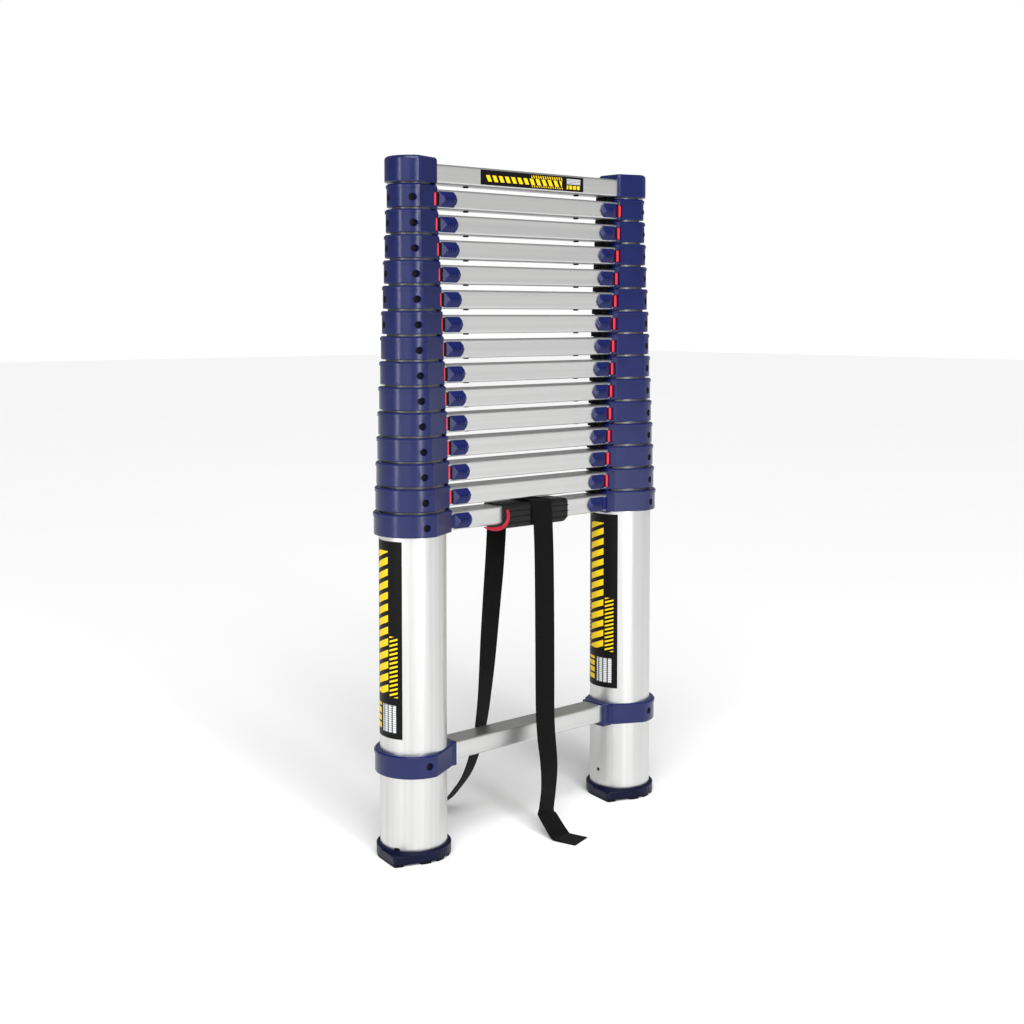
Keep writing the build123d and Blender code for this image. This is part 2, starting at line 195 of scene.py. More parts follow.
def pick(piece, kind, test):
    """In edit mode, select the faces or edges whose middle passes a test."""
    bpy.ops.object.mode_set(mode="EDIT")
    bpy.ops.mesh.select_mode(type=kind)
    bpy.ops.mesh.select_all(action="DESELECT")
    mesh = bmesh.from_edit_mesh(piece.data)
    for part in mesh.faces if kind == "FACE" else mesh.edges:
        middle = sum((corner.co for corner in part.verts), Vector()) / len(part.verts)
        if test(part, middle):
            part.select_set(True)
    bmesh.update_edit_mesh(piece.data)


def round_off(piece, width, steps=3, angle=40):
    """Round every sharp edge with a bevel modifier and apply it."""
    take(piece)
    bevel = piece.modifiers.new("rounding", "BEVEL")
    bevel.width = width
    bevel.segments = steps
    bevel.limit_method = "ANGLE"
    bevel.angle_limit = math.radians(angle)
    bpy.ops.object.modifier_apply(modifier=bevel.name)
    smooth(35)


def dress(piece, material, body):
    """Give a piece its finish and let it ride on its body."""
    piece.data.materials.clear()
    piece.data.materials.append(material)
    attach(piece, body)


def count_pieces(start):
    """How many objects have a name that starts like this."""
    return sum(piece.name.startswith(start) for piece in bpy.data.objects)


# %% [markdown]
# ## Shared shader groups
# Metal and plastic both need fine irregularity, but in different directions: a drawn tube has lines along
# its length, while moulded plastic has an even orange peel. One group makes lines, stretched by whatever
# vector comes in. The other makes peel and slow blotches of handling.

# %% Shader groups
NOISE_ROUGHNESS = 0.55
FINE, LONG = 1700, 14  # noise across and along the lines in drawn metal


def new_group(name, inputs, outputs):
    group = bpy.data.node_groups.new(name, "ShaderNodeTree")
    for label, kind, value in inputs:
        socket = group.interface.new_socket(name=label, in_out="INPUT", socket_type=kind)
        if value is not None:
            socket.default_value = value
    for label, kind in outputs:
        group.interface.new_socket(name=label, in_out="OUTPUT", socket_type=kind)
    return group, group.nodes.new("NodeGroupInput"), group.nodes.new("NodeGroupOutput")


def add_noise(tree, vector, scale, detail=3.0):
    noise = tree.nodes.new("ShaderNodeTexNoise")
    noise.inputs["Scale"].default_value = scale
    noise.inputs["Detail"].default_value = detail
    noise.inputs["Roughness"].default_value = NOISE_ROUGHNESS
    tree.links.new(vector, noise.inputs["Vector"])
    return noise.outputs["Fac"]


def add_math(tree, kind, first, second=None):
    node = tree.nodes.new("ShaderNodeMath")
    node.operation = kind
    for socket, value in zip(node.inputs, (first, second)):
        if value is None:
            continue
        if isinstance(value, (int, float)):
            socket.default_value = value
        else:
            tree.links.new(value, socket)
    return node.outputs[0]


def add_range(tree, value, low, high):
    """Stretch a 0..1 value to low..high."""
    node = tree.nodes.new("ShaderNodeMapRange")
    node.inputs["To Min"].default_value = low
    node.inputs["To Max"].default_value = high
    tree.links.new(value, node.inputs["Value"])
    return node.outputs["Result"]


def make_drawn_lines():
    """Fine parallel lines and broad soft streaks in drawn or extruded metal."""
    group, start, end = new_group(
        "drawn_lines",
        [("Position", "NodeSocketVector", None), ("Along X", "NodeSocketFloat", 1.0)],
        [("Lines", "NodeSocketFloat"), ("Streaks", "NodeSocketFloat")],
    )
    stretched = []
    for scale in ((LONG, FINE, FINE), (FINE, FINE, LONG)):
        mapping = group.nodes.new("ShaderNodeMapping")
        mapping.inputs["Scale"].default_value = scale
        group.links.new(start.outputs["Position"], mapping.inputs["Vector"])
        stretched.append(mapping.outputs["Vector"])
    blend = group.nodes.new("ShaderNodeMix")
    blend.data_type = "VECTOR"
    group.links.new(start.outputs["Along X"], blend.inputs["Factor"])
    group.links.new(stretched[1], blend.inputs[4])
    group.links.new(stretched[0], blend.inputs[5])
    vector = blend.outputs[1]
    group.links.new(add_noise(group, vector, 1.0, 2.0), end.inputs["Lines"])
    group.links.new(add_noise(group, vector, 0.09, 3.0), end.inputs["Streaks"])
    return group


def make_moulded_skin():
    """Even peel of moulded plastic or rubber, and slow blotches from handling."""
    group, start, end = new_group(
        "moulded_skin",
        [("Position", "NodeSocketVector", None), ("Peel Scale", "NodeSocketFloat", 1400.0)],
        [("Peel", "NodeSocketFloat"), ("Blotches", "NodeSocketFloat")],
    )
    peel = group.nodes.new("ShaderNodeTexNoise")
    peel.inputs["Detail"].default_value = 2.0
    group.links.new(start.outputs["Position"], peel.inputs["Vector"])
    group.links.new(start.outputs["Peel Scale"], peel.inputs["Scale"])
    group.links.new(peel.outputs["Fac"], end.inputs["Peel"])
    group.links.new(add_noise(group, start.outputs["Position"], 24.0, 4.0), end.inputs["Blotches"])
    return group


drawn_lines = make_drawn_lines()
moulded_skin = make_moulded_skin()
print("shader groups:", drawn_lines.name, "and", moulded_skin.name)

# %% [markdown]
# ## Materials
# Colours go in as linear values. Each material starts from the same blank: one shader, the position on the
# piece, and a bump node.

# %% Material helpers
def linear(red, green, blue):
    """Colour as a paint chart gives it, 0..255, turned into light."""
    parts = [value / 255 for value in (red, green, blue)]
    return tuple(p / 12.92 if p <= 0.04045 else ((p + 0.055) / 1.055) ** 2.4 for p in parts) + (1.0,)


def new_material(name):
    material = bpy.data.materials.new(name)
    material.use_nodes = True
    tree = material.node_tree
    shader = tree.nodes["Principled BSDF"]
    place = tree.nodes.new("ShaderNodeTexCoord").outputs["Object"]
    return material, tree, shader, place


def add_skin(tree, place, peel_scale):
    skin = tree.nodes.new("ShaderNodeGroup")
    skin.node_tree = moulded_skin
    skin.inputs["Peel Scale"].default_value = peel_scale
    tree.links.new(place, skin.inputs["Position"])
    return skin


def add_bump(tree, shader, height, strength, distance):
    bump = tree.nodes.new("ShaderNodeBump")
    bump.inputs["Strength"].default_value = strength
    bump.inputs["Distance"].default_value = distance
    tree.links.new(height, bump.inputs["Height"])
    tree.links.new(bump.outputs["Normal"], shader.inputs["Normal"])


def mix_colours(tree, factor, first, second):
    mix = tree.nodes.new("ShaderNodeMix")
    mix.data_type = "RGBA"
    for socket, value in ((mix.inputs[6], first), (mix.inputs[7], second)):
        if isinstance(value, tuple):
            socket.default_value = value
        else:
            tree.links.new(value, socket)
    tree.links.new(factor, mix.inputs["Factor"])
    return mix.outputs[2]


def split_axes(tree, vector):
    split = tree.nodes.new("ShaderNodeSeparateXYZ")
    tree.links.new(vector, split.inputs["Vector"])
    return split.outputs["X"], split.outputs["Y"], split.outputs["Z"]


def uv_axes(tree, layer):
    """Across and along, or across and up, in a UV map."""
    coordinates = tree.nodes.new("ShaderNodeUVMap")
    coordinates.uv_map = layer
    return split_axes(tree, coordinates.outputs["UV"])[:2]


def inside(tree, value, low, high):
    """1 where a value is between two limits, else 0."""
    above = add_math(tree, "GREATER_THAN", value, low)
    return add_math(tree, "MULTIPLY", above, add_math(tree, "LESS_THAN", value, high))


# %% [markdown]
# ### Satin aluminium
# Tubes are drawn upwards and rungs sideways, so the lines turn where the rung ends. A section's rung reaches
# a certain distance from the middle; beyond it the metal is a tube. The finish is bright but soft, so the
# roughness is fairly high and only slightly uneven. The short ring of tube that shows between two stacked
# collars lies in deep shade, and that shade is painted: the ring is darkened there.

# %% Aluminium
SEAM_START = 0.0165  # the dark ring starts this far above the collar below
SEAM_END = 0.0110  # and ends this far below its own collar
SEAM_SHADE_STRENGTH = 0.82


def make_aluminium(name, rung_reach, seam):
    material, tree, shader, place = new_material(name)
    x, _, z = split_axes(tree, place)
    on_rung = add_math(tree, "LESS_THAN", add_math(tree, "ABSOLUTE", x), rung_reach)
    lines = tree.nodes.new("ShaderNodeGroup")
    lines.node_tree = drawn_lines
    tree.links.new(place, lines.inputs["Position"])
    tree.links.new(on_rung, lines.inputs["Along X"])
    colour = mix_colours(tree, lines.outputs["Streaks"], linear(196, 197, 197), linear(224, 224, 222))
    # painted shade: the ring of tube between two stacked collars is darkened as if in shadow
    painted_shade = add_math(tree, "MULTIPLY", inside(tree, z, *seam), SEAM_SHADE_STRENGTH)
    painted_shade = add_math(tree, "MULTIPLY", painted_shade, add_math(tree, "SUBTRACT", 1.0, on_rung))
    tree.links.new(mix_colours(tree, painted_shade, colour, linear(24, 24, 26)), shader.inputs["Base Color"])
    tree.links.new(add_range(tree, lines.outputs["Lines"], 0.30, 0.46), shader.inputs["Roughness"])
    shader.inputs["Metallic"].default_value = 1.0
    add_bump(tree, shader, lines.outputs["Lines"], 0.18, 0.0002)
    return material


for section in range(1, SECTIONS + 1):
    reach = STILE_X - rung_end(section) + 0.001
    seam = (collar_z(section) - STACK_PITCH + SEAM_START, collar_z(section) - SEAM_END)
    tube_metal = make_aluminium(f"satin_aluminium_{section:02d}", reach, seam if section > 1 else (0, 0))
    frame["nodes"][f"rails_rung_{section:02d}"].data.materials[0] = tube_metal
print("sections in aluminium:", SECTIONS)


# %% [markdown]
# ### Moulded plastic
# Collars and caps are dark blue plastic with a broad soft sheen, a little paler where hands have rubbed it.
# The latches are a touch brighter and duller, and the feet are nearly black. The same recipe gives the black
# rubber and the red of the lock indicators.

# %% Blue plastic
def make_plastic(name, colour, rubbed, roughness, peel_scale=1400.0, sheen=0.35):
    material, tree, shader, place = new_material(name)
    skin = add_skin(tree, place, peel_scale)
    tree.links.new(mix_colours(tree, skin.outputs["Blotches"], colour, rubbed), shader.inputs["Base Color"])
    low, high = roughness
    tree.links.new(add_range(tree, skin.outputs["Blotches"], low, high), shader.inputs["Roughness"])
    shader.inputs["Specular IOR Level"].default_value = sheen
    add_bump(tree, shader, skin.outputs["Peel"], 0.12, 0.0002)
    return material


collar_blue = make_plastic("collar_blue", linear(12, 20, 66), linear(18, 28, 82), (0.20, 0.28), sheen=0.4)
latch_blue = make_plastic("latch_blue", linear(14, 21, 70), linear(20, 29, 86), (0.22, 0.30), sheen=0.25)
foot_blue = make_plastic("foot_blue", linear(5, 7, 30), linear(11, 15, 44), (0.34, 0.44), 1400.0, 0.12)
black_rubber = make_plastic("black_rubber", linear(8, 8, 9), linear(16, 16, 17), (0.6, 0.75), 900.0, 0.12)
indicator_red = make_plastic("indicator_red", linear(222, 40, 58), linear(232, 62, 78), (0.30, 0.40))
for name, node in frame["nodes"].items():
    if name.startswith(("collars", "caps")):
        node.data.materials[0] = collar_blue
    elif name.startswith("latch"):
        node.data.materials[0] = latch_blue
print("latches:", count_pieces("latch_"))

# %% [markdown]
# ## Feet and grip
# The frame keeps both feet and the grip in one node. The feet are the right shape, so a copy of them is
# parted from the node, and only the treads turn from blue to black. The grip is modelled afresh as foam
# with pressed grooves.

# %% Feet
TREAD_TOP = 0.0029
BETWEEN_FEET_AND_GRIP = 0.1  # a height


def make_feet():
    node = frame["nodes"]["feet_and_grip"]
    copy = bpy.data.objects.new("foot_pair", node.data.copy())
    bpy.context.collection.objects.link(copy)
    take(copy)
    bpy.ops.object.mode_set(mode="EDIT")
    bpy.ops.mesh.select_all(action="SELECT")
    bpy.ops.mesh.remove_doubles(threshold=0.00001)
    pick(copy, "FACE", lambda face, middle: middle.z > BETWEEN_FEET_AND_GRIP)
    bpy.ops.mesh.delete(type="FACE")
    bpy.ops.object.mode_set(mode="OBJECT")
    copy.data.materials.clear()
    copy.data.materials.append(foot_blue)
    copy.data.materials.append(black_rubber)
    for face in copy.data.polygons:
        face.material_index = 1 if face.center.z < TREAD_TOP else 0
    smooth(30)
    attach(copy, body_of(1))
    return copy


feet = make_feet()
print("faces in the feet:", len(feet.data.polygons))

# %% [markdown]
# The grip is a sleeve of foam round the stack's lowest rung. A block is enough to start from: the corners of
# its right end are rounded and its long edges softened, cuts are laid along it, and each cut is widened and
# pressed in, which makes soft ribs.

# %% Grip
GRIP_LOW = Vector((-0.0530, -0.0215, 0.4125))
GRIP_HIGH = Vector((0.0670, 0.0215, 0.4455))
GROOVE_HEIGHTS = (0.4195, 0.4275, 0.4355)
LOW_CORNER, HIGH_CORNER, LONG_EDGE = 0.011, 0.006, 0.005  # how far each is rounded
GROOVE_HALF_WIDTH, GROOVE_DEPTH = 0.0014, 0.0013


def make_grip():
    grip = add_block("foam_grip", GRIP_LOW, GRIP_HIGH)
    right_end = lambda middle: middle.x > GRIP_HIGH.x - HAIR
    pick(grip, "EDGE", lambda edge, middle: right_end(middle) and middle.z < GRIP_LOW.z + HAIR)
    bpy.ops.mesh.bevel(offset=LOW_CORNER, segments=7)
    pick(grip, "EDGE", lambda edge, middle: right_end(middle) and middle.z > GRIP_HIGH.z - HAIR)
    bpy.ops.mesh.bevel(offset=HIGH_CORNER, segments=5)
    on_side = lambda edge: abs(edge.verts[0].co.y - edge.verts[1].co.y) < HAIR
    pick(grip, "EDGE", lambda edge, middle: on_side(edge) and middle.x > GRIP_LOW.x + HAIR)
    bpy.ops.mesh.bevel(offset=LONG_EDGE, segments=5)
    for height in GROOVE_HEIGHTS:
        bpy.ops.mesh.select_all(action="SELECT")
        bpy.ops.mesh.bisect(plane_co=(0, 0, height), plane_no=(0, 0, 1))
    in_groove = lambda edge, middle: any(
        all(abs(corner.co.z - height) < HAIR / 2 for corner in edge.verts) for height in GROOVE_HEIGHTS
    )
    pick(grip, "EDGE", in_groove)
    bpy.ops.mesh.bevel(offset=GROOVE_HALF_WIDTH, segments=4)
    pick(grip, "EDGE", in_groove)
    bpy.ops.transform.shrink_fatten(value=GROOVE_DEPTH)
    bpy.ops.object.mode_set(mode="OBJECT")
    round_off(grip, 0.0015, 3, 50)
    return grip


def make_foam():
    material, tree, shader, place = new_material("foam_black")
    skin = add_skin(tree, place, 620.0)
    colour = mix_colours(tree, skin.outputs["Peel"], linear(5, 5, 5), linear(12, 12, 12))
    tree.links.new(colour, shader.inputs["Base Color"])
    tree.links.new(add_range(tree, skin.outputs["Blotches"], 0.34, 0.48), shader.inputs["Roughness"])
    shader.inputs["Specular IOR Level"].default_value = 0.3
    add_bump(tree, shader, skin.outputs["Peel"], 0.5, 0.0006)
    return material


grip = make_grip()
dress(grip, make_foam(), body_of(1))
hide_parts("feet_and_grip")
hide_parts("feet_and_grip")
print("faces in the grip:", len(grip.data.polygons))

# %% [markdown]
# ## Carrying strap
# Flat webbing is a fixed length of cloth tape. Its middle line is a smooth curve through a handful of
# points, and the tape is a thin rounded ribbon laid along that line. The ribbon's broad side turns slowly,
# so each point also says which way the width runs, as an angle from the rung.

# %% Strap line
STRAP_WIDTH = 0.035
STRAP_THICK = 0.0016
FRONT_LINE = [  # x, y, z and the width's heading in degrees
    (0.0140, -0.0234, 0.4440, 0), (0.0170, -0.0240, 0.3980, 0), (0.0140, -0.0290, 0.3100, 0),
    (0.0075, -0.0370, 0.2150, 1), (-0.0005, -0.0460, 0.1400, 4), (-0.0025, -0.0575, 0.0900, 8),
    (-0.0025, -0.0560, 0.0560, 12), (-0.0070, -0.0565, 0.0340, 12), (-0.0088, -0.0572, 0.0262, 12),
    (-0.0090, -0.0600, 0.0235, 11), (-0.0100, -0.0720, 0.0140, 9), (-0.0107, -0.0850, 0.0040, 7),
    (-0.0109, -0.0890, 0.0016, 7), (-0.0100, -0.0940, 0.0012, 9), (-0.0018, -0.1190, 0.0011, 20),
]
REAR_LINE = [
    (-0.0260, 0.0236, 0.4380, 0), (-0.0280, 0.0245, 0.3800, 2), (-0.0380, 0.0240, 0.2900, 8),
    (-0.0485, 0.0225, 0.1900, 18), (-0.0505, 0.0300, 0.1330, 22), (-0.0530, 0.0410, 0.0920, 24),
    (-0.0540, 0.0560, 0.0600, 25), (-0.0570, 0.0750, 0.0360, 25), (-0.0615, 0.0930, 0.0140, 25),
    (-0.0680, 0.1120, 0.0026, 25), (-0.0800, 0.1385, 0.0013, 25),
]


def follow_line(points):
    """Points along the smooth curve that the control points pull, and its heading at each."""
    data = bpy.data.curves.new("strap_line", "CURVE")
    data.dimensions = "3D"
    data.resolution_u = 14
    spline = data.splines.new("NURBS")
    spline.points.add(len(points) - 1)
    for target, (x, y, z, _) in zip(spline.points, points):
        target.co = (x, y, z, 1)
    spline.order_u = 3
    spline.use_endpoint_u = True
    line = bpy.data.objects.new("strap_line", data)
    bpy.context.collection.objects.link(line)
    mesh = bpy.data.meshes.new_from_object(line)
    path = [vertex.co.copy() for vertex in mesh.vertices]
    bpy.data.objects.remove(line)
    bpy.data.meshes.remove(mesh)
    headings = []
    for step in range(len(path)):
        along = step / (len(path) - 1) * (len(points) - 1)
        index = min(int(along), len(points) - 2)
        share = along - index
        headings.append(math.radians(points[index][3] * (1 - share) + points[index + 1][3] * share))
    return path, headings


# %% [markdown]
# The ribbon's section is a flat bar with round edges, thicker at the two selvedges where the weave turns
# back. Its UV map runs once across the tape and once per tape width along it, so the weave follows every
# bend.

# %% Ribbon
TAPE_PROFILE = [  # share of the half width, and share of the half thickness there
    (-1, 0.35), (-0.93, 1.0), (-0.86, 0.86), (-0.6, 0.86), (-0.3, 0.86), (0, 0.86),
    (0.3, 0.86), (0.6, 0.86), (0.86, 0.86), (0.93, 1.0), (1, 0.35),
]


def tape_section():
    """Closed outline of the tape, as (across, out) from its middle."""
    half, thin = STRAP_WIDTH / 2, STRAP_THICK / 2
    top = [(half * across, thin * fullness) for across, fullness in TAPE_PROFILE]
    return top + [(across, -out) for across, out in reversed(top)]


def lay_tape(name, path, headings):
    section = tape_section()
    mesh = bmesh.new()
    uv = mesh.loops.layers.uv.new("tape")
    rings, travelled, far = [], 0.0, []
    for index, point in enumerate(path):
        before, after = path[max(index - 1, 0)], path[min(index + 1, len(path) - 1)]
        tangent = (after - before).normalized()
        heading = Vector((math.cos(headings[index]), math.sin(headings[index]), 0))
        width = (heading - tangent * heading.dot(tangent)).normalized()
        out = tangent.cross(width)
        rings.append([mesh.verts.new(point + width * across + out * rise) for across, rise in section])
        travelled += (point - path[index - 1]).length if index else 0.0
        far.append(travelled)
    count = len(section)
    for index in range(len(rings) - 1):
        for side in range(count):
            other = (side + 1) % count
            corners = [(index, side), (index + 1, side), (index + 1, other), (index, other)]
            face = mesh.faces.new([rings[ring][place] for ring, place in corners])
            for loop, (ring, place) in zip(face.loops, corners):
                loop[uv].uv = (section[place][0] / STRAP_WIDTH + 0.5, far[ring] / STRAP_WIDTH)
    for ring, turn in ((rings[0], 1), (rings[-1], -1)):
        face = mesh.faces.new(ring[::turn])
        for loop in face.loops:
            loop[uv].uv = (0.5, 0)
    bmesh.ops.recalc_face_normals(mesh, faces=mesh.faces)
    data = bpy.data.meshes.new(name)
    mesh.to_mesh(data)
    mesh.free()
    tape = bpy.data.objects.new(name, data)
    bpy.context.collection.objects.link(tape)
    take(tape)
    smooth(50)
    return tape, far[-1]


# %% [markdown]
# Webbing is woven in narrow herringbone columns. Two sets of slanted waves, one leaning each way in
# alternate columns, give that look from close by and a dull black from far away.

# %% Webbing
WEAVE_COLUMNS, WAVES_PER_WIDTH, WAVE_SLANT = 9.0, 26.0, 1.6


def make_webbing():
    material, tree, shader, place = new_material("black_webbing")
    across, along = uv_axes(tree, "tape")
    column = add_math(tree, "PINGPONG", add_math(tree, "MULTIPLY", across, WEAVE_COLUMNS), 1.0)
    waves = add_math(tree, "MULTIPLY", along, WAVES_PER_WIDTH)
    slanted = add_math(tree, "ADD", waves, add_math(tree, "MULTIPLY", column, WAVE_SLANT))
    ribs = add_math(tree, "ABSOLUTE", add_math(tree, "SINE", add_math(tree, "MULTIPLY", slanted, math.pi)))
    grooves = add_math(tree, "MULTIPLY", add_math(tree, "PINGPONG", column, 0.5), 2.0)
    low, high = add_math(tree, "MULTIPLY", grooves, 0.4), add_math(tree, "MULTIPLY", ribs, 0.6)
    weave = add_math(tree, "ADD", high, low)
    fuzz = add_noise(tree, place, 2600.0, 3.0)
    height = add_math(tree, "ADD", weave, add_math(tree, "MULTIPLY", fuzz, 0.5))
    tree.links.new(mix_colours(tree, weave, linear(3, 3, 3), linear(9, 9, 9)), shader.inputs["Base Color"])
    tree.links.new(add_range(tree, fuzz, 0.72, 0.92), shader.inputs["Roughness"])
    shader.inputs["Specular IOR Level"].default_value = 0.08
    shader.inputs["Sheen Weight"].default_value = 0.03
    shader.inputs["Sheen Roughness"].default_value = 0.5
    add_bump(tree, shader, height, 0.6, 0.0005)
    return material


black_webbing = make_webbing()
for name, line in (("strap_front_tail", FRONT_LINE), ("strap_rear_tail", REAR_LINE)):
    path, headings = follow_line(line)
    tape, measured = lay_tape(name, path, headings)
    dress(tape, black_webbing, body_of(1))
    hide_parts("carry_strap")
    print(name, "length", round(measured, 3))

# %% [markdown]
# The front tail is pulled tight over the grip, so that part isn't a free line but a bent strip that fits
# the grip's corners. A slab of tape is added over the grip, and the corners are rounded like the grip's.

# %% Strap over the grip
WRAP_LEFT = -0.0045
WRAP_DROP = 0.030  # how far it comes down on both sides of the grip
WRAP_CORNER = 0.0062
WRAP_CLEAR = 0.0004


def make_wrap():
    off_grip = WRAP_CLEAR + STRAP_THICK
    low = Vector((WRAP_LEFT, GRIP_LOW.y - off_grip, GRIP_HIGH.z - WRAP_DROP))
    high = Vector((WRAP_LEFT + STRAP_WIDTH, GRIP_HIGH.y + off_grip, GRIP_HIGH.z + off_grip))
    wrap = add_block("strap_over_grip", low, high)
    runs_across = lambda middle: low.x + HAIR < middle.x < high.x - HAIR
    pick(wrap, "EDGE", lambda edge, middle: middle.z > high.z - HAIR and runs_across(middle))
    bpy.ops.mesh.bevel(offset=WRAP_CORNER, segments=6)
    pick(wrap, "FACE", lambda face, middle: face.normal.z < -0.9 or abs(face.normal.x) > 0.9)
    bpy.ops.mesh.delete(type="FACE")
    bpy.ops.object.mode_set(mode="OBJECT")
    wall = wrap.modifiers.new("tape", "SOLIDIFY")
    wall.thickness = STRAP_THICK
    wall.offset = -1
    bpy.ops.object.modifier_apply(modifier=wall.name)
    sheet = wrap.data.uv_layers.new(name="tape")
    for loop in wrap.data.loops:
        corner = wrap.data.vertices[loop.vertex_index].co
        across, along = corner.x - WRAP_LEFT, corner.y - corner.z
        sheet.data[loop.index].uv = (across / STRAP_WIDTH, along / STRAP_WIDTH)
    smooth(40)
    return wrap


wrap = make_wrap()
dress(wrap, black_webbing, body_of(1))
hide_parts("carry_strap")
print("faces in the strap over the grip:", len(wrap.data.polygons))

# %% [markdown]
# ## Lock indicators
# A narrow red plate on each rung's front shows between collar and button while a latch is open. The base
# has a blue plate in its place. Under the plate lies a thin black bed that starts in the collar's window and
# ends under the button; it is painted shade for the shadowed gap between plate and button.

# %% Indicators
WINDOW_START = 0.0209  # from the stile's axis to the plate, on the smallest collar
WINDOW_STEP = 0.00197
BUTTON_START = 0.0310  # from the stile's axis to the bed's end under the button
BUTTON_STEP = 0.00185
COVER_OVERLAP = 0.0010  # the base's plate goes this far into its collar
BED_LEAD = 0.0006
INDICATOR_WIDTH = 0.0042
PLATE_HALF_HEIGHT, INDICATOR_HALF_HEIGHT = 0.0088, 0.0083
BED_FRONT, PLATE_FRONT, PLATE_BACK = 0.0184, 0.0192, 0.0172


def make_indicator(section, side):
    """Plate on the rung's front; a black bed under it, painted shade, fills the rest of the way to the
    button.
    """
    near = WINDOW_START + WINDOW_STEP * below_top_collar(section)
    if section == 1:
        near = rung_end(1) - COVER_OVERLAP
    far = BUTTON_START + BUTTON_STEP * below_top_collar(section)
    z = collar_z(section)
    # painted shade: the black bed stands for the shadowed gap between the plate and the button
    layers = [("shade_bed", near - BED_LEAD, far, BED_FRONT, PLATE_HALF_HEIGHT, black_rubber)]
    if section == 1:
        layers.append(("cover_plate", near, far, PLATE_FRONT, PLATE_HALF_HEIGHT, latch_blue))
    else:
        end = near + INDICATOR_WIDTH
        layers.append(("lock_indicator", near, end, PLATE_FRONT, INDICATOR_HALF_HEIGHT, indicator_red))
    for name, start, end, front, half, finish in layers:
        xs = sorted(side * (STILE_X - reach) for reach in (start, end))
        low, high = (xs[0], -front, z - half), (xs[1], -PLATE_BACK, z + half)
        plate = add_block(f"{name}_{HANDS[side]}_{section:02d}", low, high)
        round_off(plate, 0.0004, 2)
        dress(plate, finish, body_of(section))


for section in range(1, SECTIONS):
    for side in (LEFT, RIGHT):
        make_indicator(section, side)
print("lock indicators:", count_pieces("lock_indicator"))

# %% [markdown]
# ## Spacers and studs
# Two things keep fingers out of the closing gaps: a black block under each end of a rung, behind its
# middle and against the collar, and a small rubber stud further in. Both slide up with their rung.

# %% Spacers and studs
SPACER_CLEAR = 0.0004  # between a spacer and its collar
SPACER_WIDTH, SPACER_HEIGHT = 0.0095, 0.0066
SPACER_FRONT, SPACER_BACK = -0.0060, 0.0172
STUD_X, STUD_Y = 0.100, 0.0010
STUD_R, STUD_HEIGHT = 0.0038, 0.0018


def rung_underside(section):
    return collar_z(section) + RUNG_RISE - RUNG_HALF_HEIGHT


def make_spacer(section, side):
    top = rung_underside(section)
    outer = STILE_X - rung_end(section) - SPACER_CLEAR
    xs = sorted((side * outer, side * (outer - SPACER_WIDTH)))
    name = f"spacer_{HANDS[side]}_{section:02d}"
    spacer = add_block(name, (xs[0], SPACER_FRONT, top - SPACER_HEIGHT), (xs[1], SPACER_BACK, top))
    round_off(spacer, 0.0008, 2)
    dress(spacer, black_rubber, body_of(section))


def make_stud(section, side):
    root = (side * STUD_X, STUD_Y, rung_underside(section))
    stud = add_rod(f"stud_{HANDS[side]}_{section:02d}", root, "Z", STUD_R, -STUD_HEIGHT)
    round_off(stud, 0.0007, 2)
    dress(stud, black_rubber, body_of(section))


for section in range(2, SECTIONS + 1):
    for side in (LEFT, RIGHT):
        make_spacer(section, side)
        make_stud(section, side)
print("spacers:", count_pieces("spacer_"), "studs:", count_pieces("stud_"))

# %% [markdown]
# ## Screws
# The frame leaves the collars' recesses empty. A dark screw head goes into each, standing a little off the
# recess floor. Collars have one in front, the smaller ones a second one on the outer side.

# %% Screws
BASE_COLLAR_R = 0.0512
SLIDING_COLLAR_R = 0.0489
COLLAR_R_STEP = 0.00136
RECESS_DEPTH = 0.0045
HEAD_R, HEAD_TALL = 0.0043, 0.0014
FRONT_SCREW_X = -0.0176  # from the stile's axis towards the rung, on the smallest collar
FRONT_SCREW_STEP = 0.00032
BRACKET_SCREW_X = -0.0110
SIDE_SCREW_TURN = 0.26  # distance behind the stile's axis as a share of the collar's radius
SIDE_SCREWS_FROM = 9


def collar_r(section):
    return BASE_COLLAR_R if section == 1 else SLIDING_COLLAR_R - COLLAR_R_STEP * (section - 2)


def add_screw(name, floor, axis, outward, section):
    """Screw head on a recess floor, facing along an axis in the outward sense, -1 or 1."""
    head = add_rod(name, floor, axis, HEAD_R, outward * HEAD_TALL)
    round_off(head, 0.0005, 2)
    dress(head, black_rubber, body_of(section))


def front_screw(name, side, across, radius, z, section):
    depth = math.sqrt(radius ** 2 - across ** 2) - RECESS_DEPTH
    add_screw(name, (side * (STILE_X - across), -depth, z), "Y", -1, section)


for side, hand in HANDS.items():
    front_screw(f"screw_bracket_{hand}", side, BRACKET_SCREW_X, BASE_COLLAR_R, BASE_RUNG_Z, 1)
    for section in range(1, SECTIONS):
        across = FRONT_SCREW_X + FRONT_SCREW_STEP * below_top_collar(section)
        radius, z = collar_r(section), collar_z(section)
        front_screw(f"screw_front_{hand}_{section:02d}", side, across, radius, z, section)
        if section >= SIDE_SCREWS_FROM:
            floor = (side * (STILE_X + radius - RECESS_DEPTH), radius * SIDE_SCREW_TURN, z)
            add_screw(f"screw_side_{hand}_{section:02d}", floor, "X", side, section)
print("screw heads:", count_pieces("screw_"))

# %% [markdown]
# ## Labels
# Each base tube and the top rung carry a printed film. The print is plain: bold slanted bars, fine
# hatching, a pale block and a few short bars. It is drawn with masks on the label's UV map, which runs from
# 0 to 1 across and up, so one recipe serves all three labels.

